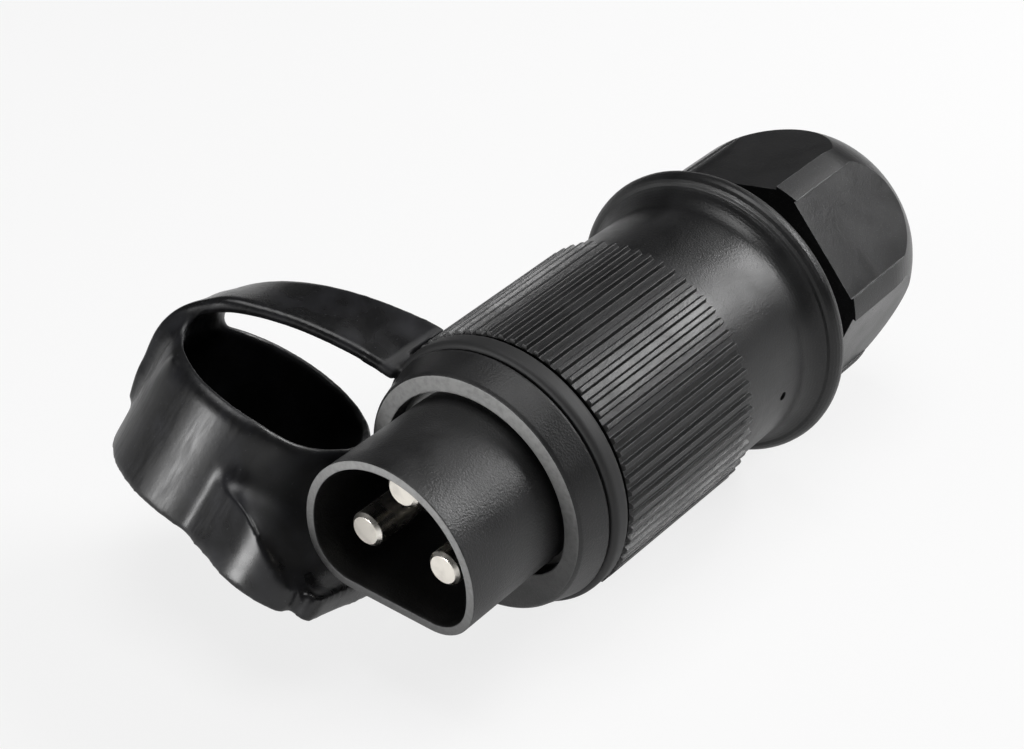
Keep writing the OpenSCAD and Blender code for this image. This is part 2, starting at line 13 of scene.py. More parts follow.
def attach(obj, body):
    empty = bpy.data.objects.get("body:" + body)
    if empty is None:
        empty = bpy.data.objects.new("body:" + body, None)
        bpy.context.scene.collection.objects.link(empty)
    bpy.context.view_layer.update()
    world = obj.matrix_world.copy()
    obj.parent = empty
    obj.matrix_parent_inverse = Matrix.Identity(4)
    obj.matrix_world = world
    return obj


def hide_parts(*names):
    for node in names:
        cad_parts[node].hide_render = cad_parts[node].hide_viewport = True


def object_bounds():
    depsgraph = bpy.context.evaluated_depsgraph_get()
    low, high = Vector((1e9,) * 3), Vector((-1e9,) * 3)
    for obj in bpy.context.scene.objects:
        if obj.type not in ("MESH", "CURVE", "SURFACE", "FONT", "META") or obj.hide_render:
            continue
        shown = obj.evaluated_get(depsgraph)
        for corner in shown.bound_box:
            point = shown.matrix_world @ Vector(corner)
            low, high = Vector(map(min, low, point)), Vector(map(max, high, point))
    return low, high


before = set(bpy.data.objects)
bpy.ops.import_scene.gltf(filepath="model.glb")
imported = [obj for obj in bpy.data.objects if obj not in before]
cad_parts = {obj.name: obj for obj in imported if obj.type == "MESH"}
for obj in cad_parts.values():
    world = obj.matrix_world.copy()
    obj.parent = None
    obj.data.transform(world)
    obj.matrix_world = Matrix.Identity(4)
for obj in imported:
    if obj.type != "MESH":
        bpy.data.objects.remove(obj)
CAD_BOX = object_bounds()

LOG = logging.getLogger("plug")
MM = 0.001
# Most of a noise's values lie in this range
MID_NOISE = (0.3, 0.7)
# A wave texture's phase is its scale times the distance times this
WAVE_RATE = 20.0
# What a factor goes to where it rises, and where it falls
RISE = (0.0, 1.0)
FALL = (1.0, 0.0)

Rgb = tuple[float, float, float]
Xyz = tuple[float, float, float]
Span = tuple[float, float]
Socket = bpy.types.NodeSocket


class Surface(Enum):
    """How a mould's surface leaves a moulding: the spread of its roughness, and how much of its grain shows."""

    SPARKED = (0.09, 1.0)
    POLISHED = (0.05, 0.5)


class Graph:
    """The nodes of a material or of the room, with short calls to add and join them."""

    def __init__(self, tree: bpy.types.NodeTree) -> None:
        """Takes a tree of nodes to add to.

        Args:
            tree: The tree.
        """
        self.nodes = tree.nodes
        self.links = tree.links

    def add(self, kind: str, settings: dict | None = None, sockets: dict | None = None) -> bpy.types.Node:
        """Adds a node.

        Args:
            kind: The node's type.
            settings: Its own properties, by name.
            sockets: Values of its inputs, or the outputs that feed them, by name or index.

        Returns:
            The new node.
        """
        node = self.nodes.new(kind)
        for key, value in (settings or {}).items():
            setattr(node, key, value)
        for key, value in (sockets or {}).items():
            if isinstance(value, Socket):
                self.links.new(value, node.inputs[key])
            else:
                node.inputs[key].default_value = value
        return node

    def part(self, vector: Socket, axis: str) -> Socket:
        """Returns the X, Y or Z part of a vector."""
        return self.add("ShaderNodeSeparateXYZ", {}, {0: vector}).outputs[axis]

    def join(self, operation: str, first: Socket, second: Socket | float) -> Socket:
        """Joins two factors by a Math node's operation, and returns the result."""
        return self.add("ShaderNodeMath", {"operation": operation}, {0: first, 1: second}).outputs[0]

    def both(self, first: Socket, second: Socket | float) -> Socket:
        """Multiplies two factors, so that both must hold, and returns the product."""
        return self.join("MULTIPLY", first, second)

    def larger(self, first: Socket, second: Socket) -> Socket:
        """Returns the larger of two factors."""
        return self.join("MAXIMUM", first, second)

    def spread(self, value: Socket, source: Span, target: Span) -> Socket:
        """Maps a factor from one range to another, and holds it there.

        Args:
            value: The factor.
            source: The range that it comes from.
            target: The range that it goes to.

        Returns:
            The mapped factor.
        """
        node = self.add("ShaderNodeMapRange", {}, {
            "Value": value, "From Min": source[0], "From Max": source[1],
            "To Min": target[0], "To Max": target[1]})
        return node.outputs["Result"]

    def spread_mm(self, length: Socket, source_mm: Span, target: Span) -> Socket:
        """Maps a length in metres, from a range in millimetres, and returns the factor."""
        return self.spread(length, (source_mm[0] * MM, source_mm[1] * MM), target)


class Finish(Graph):
    """The nodes of one material."""

    bevel_samples: int = 6
    edge_dot: Span = (0.985, 0.8)

    def __init__(self, name: str) -> None:
        """Starts a material that holds only a shader and its output.

        Args:
            name: The material's name.
        """
        self.material = bpy.data.materials.new(name)
        self.material.use_nodes = True
        super().__init__(self.material.node_tree)
        self.shader = self.nodes["Principled BSDF"]
        source = self.add("ShaderNodeTexCoord")
        self.place = source.outputs["Object"]
        self.facing = source.outputs["Normal"]

    def at(self, axis: str) -> Socket:
        """Returns the place along the X, Y or Z axis."""
        return self.part(self.place, axis)

    def axis_distance(self) -> Socket:
        """Measures how far the surface is from the plug's axis.

        Returns:
            The distance, in metres.
        """
        flat = self.add("ShaderNodeVectorMath", {"operation": "MULTIPLY"}, {0: self.place, 1: (1, 0, 1)})
        away = self.add("ShaderNodeVectorMath", {"operation": "LENGTH"}, {0: flat.outputs[0]})
        return away.outputs["Value"]

    def near(self, centre_mm: Xyz, reach_mm: Span, target: Span) -> Socket:
        """Maps the distance from a point.

        Args:
            centre_mm: The point.
            reach_mm: The range of distances.
            target: The range that it goes to.

        Returns:
            The mapped factor.
        """
        centre = Vector(centre_mm) * MM
        away = self.add("ShaderNodeVectorMath", {"operation": "DISTANCE"}, {0: self.place, 1: centre})
        return self.spread_mm(away.outputs["Value"], reach_mm, target)

    def noise(self, size_mm: float, detail: float = 2.0, distortion: float = 0.0,
              place: Socket | None = None) -> Socket:
        """Adds noise.

        Args:
            size_mm: Size of its blotches.
            detail: Number of finer layers.
            distortion: How far it is smeared.
            place: Its coordinates, or None for the piece's own.

        Returns:
            Its factor, from 0 to 1.
        """
        node = self.add("ShaderNodeTexNoise", {}, {
            "Vector": self.place if place is None else place, "Scale": 1 / (size_mm * MM),
            "Detail": detail, "Distortion": distortion})
        return node.outputs["Fac"]

    def blend(self, share: Socket, first: Rgb | Socket, second: Rgb | Socket) -> Socket:
        """Mixes two colours.

        Args:
            share: How much of the second one shows.
            first: The colour where the share is 0.
            second: The colour where the share is 1.

        Returns:
            The mixed colour.
        """
        first, second = (c if isinstance(c, Socket) else (*c, 1) for c in (first, second))
        return self.add("ShaderNodeMix", {"data_type": "RGBA"}, {0: share, 6: first, 7: second}).outputs[2]

    def relief(self, height: Socket, depth_mm: float, strength: float, normal: Socket | None = None) -> Socket:
        """Adds a bump.

        Args:
            height: Its height, from 0 to 1.
            depth_mm: What a height of 1 stands for.
            strength: How much of it shows.
            normal: The surface that it lies on.

        Returns:
            The bumped normal.
        """
        sockets = {"Height": height, "Distance": depth_mm * MM, "Strength": strength}
        if normal is not None:
            sockets["Normal"] = normal
        return self.add("ShaderNodeBump", {}, sockets).outputs["Normal"]

    def soft_edges(self, radius_mm: float) -> Socket:
        """Rounds the edges of the surface by a small radius, and returns its normal."""
        bevel = self.add("ShaderNodeBevel", {"samples": self.bevel_samples}, {"Radius": radius_mm * MM})
        return bevel.outputs["Normal"]

    def rubbed_edges(self, radius_mm: float) -> Socket:
        """Finds the edges that hands and tools rub.

        Args:
            radius_mm: How far the rubbing reaches from an edge.

        Returns:
            A factor that is 1 on an edge and 0 away from it.
        """
        rounded = self.soft_edges(radius_mm)
        flat = self.add("ShaderNodeNewGeometry").outputs["Normal"]
        dot = self.add("ShaderNodeVectorMath", {"operation": "DOT_PRODUCT"}, {0: rounded, 1: flat})
        return self.spread(dot.outputs["Value"], self.edge_dot, RISE)

    def dress(self, colour: Socket, roughness: Socket, normal: Socket) -> bpy.types.Material:
        """Joins the finished colour, roughness and normal to the shader.

        Args:
            colour: The base colour.
            roughness: The roughness.
            normal: The normal.

        Returns:
            The finished material.
        """
        self.links.new(colour, self.shader.inputs["Base Color"])
        self.links.new(roughness, self.shader.inputs["Roughness"])
        self.links.new(normal, self.shader.inputs["Normal"])
        return self.material


@dataclass(frozen=True)
class MouldedPlastic:
    """A hard plastic moulding with mould grain, faint mottling, pale specks and rubbed edges."""

    name: str
    colour: Rgb
    roughness: float
    surface: Surface = Surface.SPARKED
    grain_mm: float = 0.27
    grain_depth_mm: float = 0.045
    mottle_mm: float = 9.0
    mottle_shades: Span = (0.72, 1.25)
    speck_size: float = 0.55
    speck_range: Span = (0.66, 0.74)
    speck_share: float = 0.4
    edge_mm: float = 0.16
    wear: float = 0.55
    wear_mm: float = 1.6
    wear_range: Span = (0.3, 0.65)
    wave_mm: float = 2.4
    wave_depth_mm: float = 0.04
    wave_share: float = 0.5
    specular: float = 0.5
    rubbed: Rgb = (0.07, 0.07, 0.072)

    def build(self) -> bpy.types.Material:
        """Builds the material.

        Returns:
            The material.
        """
        finish = Finish(self.name)
        mottle = finish.noise(self.mottle_mm, detail=4.0, distortion=0.6)
        dark, light = (tuple(shade * c for c in self.colour) for shade in self.mottle_shades)
        colour = finish.blend(finish.spread(mottle, MID_NOISE, RISE), dark, light)
        specks = finish.noise(self.speck_size * self.grain_mm, detail=1.0)
        specks = finish.spread(specks, self.speck_range, (0.0, self.speck_share))
        colour = finish.blend(specks, colour, self.rubbed)
        wear = finish.spread(finish.noise(self.wear_mm, detail=3.0), self.wear_range, (0.0, self.wear))
        wear = finish.both(finish.rubbed_edges(2 * self.edge_mm), wear)
        colour = self.aged(finish, finish.blend(wear, colour, self.rubbed))
        reach, grain_share = self.surface.value
        roughness = finish.spread(mottle, MID_NOISE, (self.roughness - reach, self.roughness + reach))
        normal = finish.relief(finish.noise(self.grain_mm, detail=3.0), self.grain_depth_mm, grain_share,
                               finish.soft_edges(self.edge_mm))
        normal = finish.relief(finish.noise(self.wave_mm), self.wave_depth_mm, self.wave_share, normal)
        finish.shader.inputs["Specular IOR Level"].default_value = self.specular
        return finish.dress(colour, roughness, normal)

    def aged(self, finish: Finish, colour: Socket) -> Socket:
        """Returns the colour as it is: only some mouldings age unevenly."""
        return colour


@dataclass(frozen=True)
class CarrierPlastic(MouldedPlastic):
    """The carrier's plastic: its front faces are rubbed grey and painted lighter towards the top as painted
    light, and the inside of its shroud is painted black as painted shade.
    """

    # Partly painted light: the front faces' grey is a rubbed finish and also stands in for light they catch,
    # more towards the top
    face: Rgb = (0.38, 0.38, 0.375)
    face_turn: Span = (-0.8, -0.97)
    face_light_z_mm: Span = (-12.0, 15.0)
    face_light_share: Span = (0.06, 1.0)
    scuff_mm: float = 0.7
    scuff_range: Span = (0.25, 0.6)
    scuff_share: Span = (0.72, 1.0)
    # Painted shade: near black inside the shroud, where shade falls
    painted_recess_shade: Rgb = (0.003, 0.003, 0.003)
    shade_r_mm: Span = (12.9, 13.0)
    shade_y_mm: Span = (0.2, 0.6)
    shade_z_mm: Span = (-7.25, -7.15)

    def aged(self, finish: Finish, colour: Socket) -> Socket:
        """Greys the front faces, partly as a rubbed finish and partly as painted light that grows towards the
        top, and paints shade into the inside of the shroud.

        Args:
            finish: The material's nodes.
            colour: The plastic's own colour.

        Returns:
            The aged colour.
        """
        # Paints shade into the inside of the shroud
        inside = finish.spread_mm(finish.axis_distance(), self.shade_r_mm, FALL)
        inside = finish.both(inside, finish.spread_mm(finish.at("Z"), self.shade_z_mm, RISE))
        inside = finish.both(inside, finish.spread_mm(finish.at("Y"), self.shade_y_mm, RISE))
        # Front faces greyed: rubbed finish plus painted light, stronger towards the top
        front = finish.spread(finish.part(finish.facing, "Y"), self.face_turn, RISE)
        front = finish.both(front, finish.spread_mm(finish.at("Z"), self.face_light_z_mm, self.face_light_share))
        scuffs = finish.spread(finish.noise(self.scuff_mm, detail=4.0), self.scuff_range, self.scuff_share)
        colour = finish.blend(finish.both(front, scuffs), colour, self.face)
        return finish.blend(inside, colour, self.painted_recess_shade)


@dataclass(frozen=True)
class HousingPlastic(MouldedPlastic):
    """The housing's plastic: the ends of its ribs are painted lighter as painted light, and the joint below
    them is painted near black as painted shade.
    """

    front_y_mm: Span = (25.71, 25.76)
    # Painted light: the grey of the rib ends stands in for light they would catch
    rib_end_painted_light: Rgb = (0.11, 0.11, 0.11)
    rib_root_r_mm: Span = (19.25, 19.35)
    # Painted shade: near black in the joint behind the cap's loop, where shade falls
    painted_joint_shade: Rgb = (0.002, 0.002, 0.002)

    def aged(self, finish: Finish, colour: Socket) -> Socket:
        """Paints light on the ends of the ribs, and paints shade, near black, on the rest of the housing's
        front face.

        Args:
            finish: The material's nodes.
            colour: The plastic's own colour.

        Returns:
            The aged colour.
        """
        # Painted light on the rib ends, painted shade on the front face below them
        ribs = finish.spread_mm(finish.axis_distance(), self.rib_root_r_mm, RISE)
        front = finish.spread_mm(finish.at("Y"), self.front_y_mm, FALL)
        return finish.blend(front, colour, finish.blend(ribs, self.painted_joint_shade, self.rib_end_painted_light))


@dataclass(frozen=True)
class SoftRubber:
    """A flexible rubber moulding with handling smears, fine dust and a soft surface."""

    name: str
    colour: Rgb = (0.006, 0.006, 0.0065)
    smear: Rgb = (0.014, 0.0142, 0.017)
    smear_mm: float = 5.0
    smear_range: Span = (0.45, 0.75)
    dust: Rgb = (0.08, 0.081, 0.088)
    dust_mm: float = 0.45
    dust_range: Span = (0.68, 0.78)
    dust_share: float = 0.5
    roughness: float = 0.26
    roughness_reach: Span = (-0.04, 0.08)
    grain_mm: float = 0.22
    grain_depth_mm: float = 0.012
    grain_share: float = 0.35
    ripple_mm: float = 1.3
    ripple_depth_mm: float = 0.03
    ripple_share: float = 0.3
    sag_mm: float = 17.0
    sag_depth_mm: float = 0.2
    sag_share: float = 0.2
    specular: float = 0.5

    def build(self) -> bpy.types.Material:
        """Builds the material.

        Returns:
            The material.
        """
        finish = Finish(self.name)
        smears = finish.noise(self.smear_mm, distortion=0.3)
        colour = finish.blend(finish.spread(smears, self.smear_range, RISE), self.colour, self.smear)
        dust = finish.spread(finish.noise(self.dust_mm), self.dust_range, (0.0, self.dust_share))
        colour = finish.blend(dust, colour, self.dust)
        low, high = (self.roughness + reach for reach in self.roughness_reach)
        colour, roughness = self.worn(finish, colour, finish.spread(smears, MID_NOISE, (low, high)))
        normal = finish.relief(finish.noise(self.grain_mm), self.grain_depth_mm, self.grain_share)
        ripples = finish.noise(self.ripple_mm, detail=3.0, distortion=0.8)
        normal = finish.relief(ripples, self.ripple_depth_mm, self.ripple_share, normal)
        sags = finish.noise(self.sag_mm, distortion=0.4)
        normal = finish.relief(sags, self.sag_depth_mm, self.sag_share, normal)
        finish.shader.inputs["Specular IOR Level"].default_value = self.specular
        return finish.dress(colour, roughness, normal)

    def worn(self, finish: Finish, colour: Socket, roughness: Socket) -> tuple[Socket, Socket]:
        """Returns the colour and roughness as they are: only some rubber wears unevenly."""
        return colour, roughness


@dataclass(frozen=True)
class CapRubber(SoftRubber):
    """The cap's rubber: hands dull its cup, the plug's nose rubs its loop and the end of its strap, and the
    loop's edges are lightened as wear and as a painted highlight.
    """

    cup_mm: Xyz = (-33.9, 9.2, -1.1)
    cup_reach_mm: Span = (18.5, 23.0)
    cup_lean_deg: float = 33.0
    cup_heading_deg: float = 59.0
    cup_roughness: float = 0.35
    mark_mm: float = 0.6
    mark_length: float = 7.0
    mark_reach: Span = (-0.06, 0.08)
    hollow_mm: Xyz = (-17.0, 2.0, -1.0)
    hollow_reach_mm: Span = (6.5, 10.5)
    hollow_roughness: float = 0.62
    loop: Rgb = (0.016, 0.016, 0.0165)
    # Partly a painted highlight: the loop's pale edges stand for wear and for the light lines its rounded edges
    # catch
    loop_edge_wear_and_highlight: Rgb = (0.09, 0.09, 0.092)
    loop_edge_mm: float = 0.35
    loop_roughness: float = 0.5
    loop_r_mm: Span = (20.0, 20.2)
    loop_front_mm: Span = (21.9, 22.0)
    loop_rear_mm: Span = (25.4, 25.5)
    strap_end_r_mm: Span = (21.2, 22.6)
    strap_end_y_mm: Span = (17.0, 19.0)
    strap_end_roughness: float = 0.6

    def drawn_marks(self, finish: Finish) -> Socket:
        """Adds the marks that hands leave along the cup's wall.

        Args:
            finish: The material's nodes.

        Returns:
            Their factor, from 0 to 1.
        """
        along = finish.add("ShaderNodeMapping", {"vector_type": "TEXTURE"}, {
            "Vector": finish.place, "Location": Vector(self.cup_mm) * MM,
            "Rotation": (0, math.radians(self.cup_lean_deg), math.radians(self.cup_heading_deg)),
            "Scale": (1, 1, self.mark_length)})
        return finish.noise(self.mark_mm, detail=3.0, distortion=0.3, place=along.outputs["Vector"])

    def worn(self, finish: Finish, colour: Socket, roughness: Socket) -> tuple[Socket, Socket]:
        """Dulls the cup, the tab's hollow, the strap's end and the loop, and greys the loop's edges as wear and
        as a painted highlight.

        Args:
            finish: The material's nodes.
            colour: The rubber's own colour.
            roughness: The rubber's own roughness.

        Returns:
            The worn colour and roughness.
        """
        along = finish.at("Y")
        from_axis = finish.axis_distance()
        loop = finish.spread_mm(from_axis, self.loop_r_mm, FALL)
        loop = finish.both(loop, finish.spread_mm(along, self.loop_front_mm, RISE))
        loop = finish.both(loop, finish.spread_mm(along, self.loop_rear_mm, FALL))
        colour = finish.blend(loop, colour, self.loop)
        # Loop edges lightened: wear plus a painted highlight
        colour = finish.blend(finish.both(loop, finish.rubbed_edges(self.loop_edge_mm)), colour, self.loop_edge_wear_and_highlight)
        low, high = (self.cup_roughness + reach for reach in self.mark_reach)
        handled = finish.spread(self.drawn_marks(finish), MID_NOISE, (low, high))
        strap_end = finish.spread_mm(from_axis, self.strap_end_r_mm, (self.strap_end_roughness, 0.0))
        for dull in (
            finish.near(self.hollow_mm, self.hollow_reach_mm, (self.hollow_roughness, 0.0)),
            finish.both(strap_end, finish.spread_mm(along, self.strap_end_y_mm, RISE)),
            finish.both(finish.near(self.cup_mm, self.cup_reach_mm, FALL), handled),
            finish.both(loop, self.loop_roughness),
        ):
            roughness = finish.larger(roughness, dull)
        return colour, roughness


@dataclass(frozen=True)
class PlatedMetal:
    """A turned and plated metal part, with fine tool rings about its own axis and a few dull spots."""

    name: str
    colour: Rgb
    axis_x_mm: float = 0.0
    axis_z_mm: float = 0.0
    ring_mm: float = 0.16
    ring_depth_mm: float = 0.003
    ring_share: float = 0.2
    edge_mm: float = 0.12
    tarnish_mm: float = 2.6
    tarnish_range: Span = (0.5, 0.72)
    tarnish_shade: float = 0.86
    roughness: float = 0.24
    roughness_reach: Span = (-0.05, 0.14)
    faced: float = 0.55
    faced_turn: Span = (-0.9, -0.99)

    def build(self) -> bpy.types.Material:
        """Builds the material.

        Returns:
            The material.
        """
        finish = Finish(self.name)
        centred = finish.add("ShaderNodeMapping", {}, {
            "Vector": finish.place, "Location": (-self.axis_x_mm * MM, 0, -self.axis_z_mm * MM)})
        rings = finish.add("ShaderNodeTexWave", {"wave_type": "RINGS", "rings_direction": "Y"}, {
            "Vector": centred.outputs["Vector"], "Scale": 1 / (WAVE_RATE * self.ring_mm * MM),
            "Distortion": 0.6, "Detail": 2.0})
        tarnish = finish.noise(self.tarnish_mm, distortion=0.3)
        dull = tuple(self.tarnish_shade * c for c in self.colour)
        colour = finish.blend(finish.spread(tarnish, self.tarnish_range, RISE), self.colour, dull)
        low, high = (self.roughness + reach for reach in self.roughness_reach)
        faced = finish.spread(finish.part(finish.facing, "Y"), self.faced_turn, (0.0, self.faced))
        roughness = finish.larger(finish.spread(tarnish, MID_NOISE, (low, high)), faced)
        normal = finish.relief(rings.outputs["Fac"], self.ring_depth_mm, self.ring_share,
                               finish.soft_edges(self.edge_mm))
        finish.shader.inputs["Metallic"].default_value = 1.0
        return finish.dress(colour, roughness, normal)


def dress_node(name: str, material: bpy.types.Material) -> None:
    """Gives a carried-over node its finish.

    Args:
        name: The node's name.
        material: The finish.
    """
    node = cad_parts[name]
    for place in node.material_slots:
        place.material = material
    LOG.info("%s wears %s", name, material.name)


@dataclass
class PlugBody:
    """The ribbed housing with its flange and neck, and the contact carrier in its front."""

    housing: HousingPlastic = HousingPlastic("black_housing", (0.010, 0.010, 0.0105), 0.38)
    carrier: CarrierPlastic = CarrierPlastic("black_carrier", (0.013, 0.013, 0.0135), 0.44, grain_mm=0.28,
                                             grain_depth_mm=0.058, edge_mm=0.4)
    seal: SoftRubber = SoftRubber("black_seal_ring", roughness=0.5)
    screw: PlatedMetal = PlatedMetal("zinc_screw", (0.66, 0.67, 0.69), roughness=0.34)

    def dress(self) -> None:
        """Gives the body's pieces their finishes."""
        dress_node("housing", self.housing.build())
        dress_node("contact_carrier", self.carrier.build())
        dress_node("carrier_seal", self.seal.build())
        screw = self.screw.build()
        for name in ("carrier_screw", "terminal_screw_top", "terminal_screw_left", "terminal_screw_right"):
            dress_node(name, screw)


@dataclass
class Contacts:
    """The three turned contact pins, each with tool rings about its own axis."""

    places_mm: dict[str, Span] = field(default_factory=lambda: {
        "contact_pin_top": (0.0, 8.8), "contact_pin_left": (-6.5, -0.6), "contact_pin_right": (6.5, -0.6)})
    colour: Rgb = (0.94, 0.9, 0.83)

    def dress(self) -> None:
        """Gives each pin its plating."""
        for name, (x, z) in self.places_mm.items():
            dress_node(name, PlatedMetal("plated_" + name, self.colour, x, z).build())


@dataclass
class Gland:
    """The cable gland: its nut, clamping insert, seal and slip ring."""

    # The nut's strong, pale edge wear is partly wear and partly a painted highlight along the edges of its
    # strips
    nut: MouldedPlastic = MouldedPlastic("black_nut", (0.011, 0.011, 0.0115), 0.31, Surface.POLISHED,
                                         edge_mm=0.12, wear=0.9, specular=0.4, rubbed=(0.16, 0.16, 0.162))
    claw: MouldedPlastic = MouldedPlastic("grey_clamp", (0.045, 0.045, 0.047), 0.5)
    seal: SoftRubber = SoftRubber("black_gland_seal", roughness=0.55)
    slip: MouldedPlastic = MouldedPlastic("natural_slip_ring", (0.72, 0.7, 0.64), 0.42, Surface.POLISHED,
                                          rubbed=(0.8, 0.79, 0.74))

    def dress(self) -> None:
        """Gives the gland's pieces their finishes."""
        dress_node("gland_nut", self.nut.build())
        dress_node("gland_claw", self.claw.build())
        dress_node("gland_seal", self.seal.build())
        dress_node("gland_thrust_ring", self.slip.build())


@dataclass(frozen=True)
class SoftSpot:
    """A place where the rubber is rounder than elsewhere, and may fill its inner corners."""

    centre_mm: Xyz
    reach_mm: float
    passes: int
    fill_mm: float = 0.0

    def share(self, place: Vector) -> float:
        """Works out how much of the spot a place feels.

        Args:
            place: The place, in metres.

        Returns:
            1 in the inner half of the spot, falling smoothly to 0 at its reach.
        """
        away = (place / MM - Vector(self.centre_mm)).length / self.reach_mm
        step = min(1.0, 2 * max(0.0, 1 - away))
        return step ** 2 * (3 - 2 * step)


@dataclass
class RubberCap:
    """The cup with its pull tab, strap and loop: one soft moulding with rounded edges."""

    mouth_mm: Xyz = (-31.4, 13.4, 6.4)
    bore_r_mm: float = 13.8
    wall_mm: float = 1.9
    lip_mm: float = 2.6
    lip_reach: float = 1.1
    root: SoftSpot = SoftSpot((-44.0, 8.0, 12.5), 14.0, 10, 1.8)
    saddle: SoftSpot = SoftSpot((-19.0, -0.5, -0.5), 12.0, 120)
    tab_end: SoftSpot = SoftSpot((-11.0, 0.5, -11.0), 10.0, 12)
    petal_facing: Xyz = (0.07, -0.87, 0.48)
    petal_dot: float = 0.88
    merge_mm: float = 0.001
    voxel_mm: float = 0.37
    pass_share: float = 0.5
    crisp_passes: int = 2
    soft_passes: int = 6
    soft_r_mm: float = 24.0
    soft_y_mm: float = 18.0
    loop_r_mm: Span = (16.75, 19.8)
    loop_y_mm: Span = (22.15, 25.25)
    loop_edge_mm: float = 0.85
    loop_reach_mm: float = 0.42
    rubber: CapRubber = CapRubber("black_cap_rubber")

    def fused(self, bm: bmesh.types.BMesh) -> bmesh.types.BMesh:
        """Turns a mesh into one closed skin of even faces.

        Args:
            bm: The mesh, which is used up.

        Returns:
            The skin.
        """
        mesh = bpy.data.meshes.new("cap_skin")
        bm.to_mesh(mesh)
        bm.free()
        piece = bpy.data.objects.new("cap_skin", mesh)
        bpy.context.scene.collection.objects.link(piece)
        remesh = piece.modifiers.new("fuse", "REMESH")
        remesh.mode = "VOXEL"
        remesh.voxel_size = self.voxel_mm * MM
        skin = bpy.data.meshes.new_from_object(piece.evaluated_get(bpy.context.evaluated_depsgraph_get()))
        bm = bmesh.new()
        bm.from_mesh(skin)
        bpy.data.meshes.remove(skin)
        # The piece goes with its mesh
        bpy.data.meshes.remove(mesh)
        return bm

    def swell(self, bm: bmesh.types.BMesh, sign: int) -> None:
        """Moves the skin out or back at the strap's root.

        Args:
            bm: The skin.
            sign: 1 to move it out, -1 to move it back.
        """
        bm.normal_update()
        for vert in bm.verts:
            vert.co += sign * self.root.fill_mm * self.root.share(vert.co) * MM * vert.normal

    def soften(self, bm: bmesh.types.BMesh) -> None:
        """Rounds the skin: a little at the loop, more on the strap and cup, most at the soft spots.

        Args:
            bm: The skin.
        """
        away = [vert for vert in bm.verts if vert.co.y < self.soft_y_mm * MM
                or math.hypot(vert.co.x, vert.co.z) > self.soft_r_mm * MM]
        rounds = [bm.verts[:]] * self.crisp_passes + [away] * self.soft_passes
        bm.normal_update()
        petal = {vert for vert in bm.verts if vert.normal.dot(Vector(self.petal_facing)) > self.petal_dot}
        for spot, kept in ((self.root, set()), (self.saddle, petal), (self.tab_end, set())):
            near = [(vert, spot.share(vert.co)) for vert in bm.verts if vert not in kept]
            for step in range(spot.passes):
                rounds.append([vert for vert, share in near if share > (step + 0.5) / spot.passes])
        rounds += [[vert for vert in bm.verts if self.saddle.share(vert.co) > 0]] * self.crisp_passes
        for verts in rounds:
            bmesh.ops.smooth_vert(bm, verts=verts, factor=self.pass_share,
                                  use_axis_x=True, use_axis_y=True, use_axis_z=True)

    def round_lip(self, bm: bmesh.types.BMesh) -> None:
        """Rounds the outside of the cup's mouth into a soft lip.

        Args:
            bm: The skin.
        """
        place = Matrix.Translation(Vector(self.mouth_mm) * MM)
        place = place @ Matrix.Rotation(math.radians(self.rubber.cup_heading_deg), 4, "Z")
        place = place @ Matrix.Rotation(math.radians(self.rubber.cup_lean_deg), 4, "Y")
        back = place.inverted()
        for vert in bm.verts:
            spot = (back @ vert.co) / MM
            radius = math.hypot(spot.x, spot.y)
            over = Vector(((radius - self.bore_r_mm) / self.wall_mm, spot.z / self.lip_mm + 1))
            if 0 < over.x < self.lip_reach and 0 < over.y < self.lip_reach and over.length > 1:
                over.normalize()
                scale = (self.bore_r_mm + over.x * self.wall_mm) / radius
                vert.co = place @ (Vector((spot.x * scale, spot.y * scale, (over.y - 1) * self.lip_mm)) * MM)

    def true_loop(self, bm: bmesh.types.BMesh) -> None:
        """Lays the loop's skin on its true ring, with rounded edges.

        Args:
            bm: The skin.
        """
        (inner, outer), (front, rear) = self.loop_r_mm, self.loop_y_mm
        mid = Vector((inner + outer, front + rear)) * MM / 2
        edge = self.loop_edge_mm * MM
        core = Vector((outer - inner, rear - front)) * MM / 2 - Vector((edge, edge))
        for vert in bm.verts:
            out = Vector((vert.co.x, 0, vert.co.z))
            side = Vector((out.length, vert.co.y)) - mid
            past = Vector((abs(side.x), abs(side.y))) - core
            if past.x > 0 and past.y > 0:
                gap = edge - past.length
                past = past * (edge / past.length)
            else:
                gap = edge - max(past)
                past = Vector((edge, past.y) if past.x > past.y else (past.x, edge))
            if abs(gap) < self.loop_reach_mm * MM:
                past += core
                ring = mid + Vector((math.copysign(past.x, side.x), math.copysign(past.y, side.y)))
                vert.co = out.normalized() * ring.x + Vector((0, ring.y, 0))

    def build(self) -> bpy.types.Object:
        """Builds the moulding from the cap's solid, with its edges softened as rubber's are.

        Returns:
            The finished piece.
        """
        bm = bmesh.new()
        bm.from_mesh(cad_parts["protective_cap"].data)
        bmesh.ops.remove_doubles(bm, verts=bm.verts, dist=self.merge_mm * MM)
        bm = self.fused(bm)
        self.swell(bm, 1)
        bm = self.fused(bm)
        self.swell(bm, -1)
        self.round_lip(bm)
        self.soften(bm)
        self.true_loop(bm)
        for face in bm.faces:
            face.smooth = True
        mesh = bpy.data.meshes.new("rubber_cap")
        bm.to_mesh(mesh)
        bm.free()
        piece = bpy.data.objects.new("rubber_cap", mesh)
        bpy.context.scene.collection.objects.link(piece)
        return piece

    def dress(self) -> None:
        """Builds the cap, dresses it and puts it in place of its solid."""
        piece = self.build()
        piece.data.materials.clear()
        piece.data.materials.append(self.rubber.build())
        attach(piece, "cap")
        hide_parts("protective_cap")
        LOG.info("%s has %d faces", piece.name, len(piece.data.polygons))


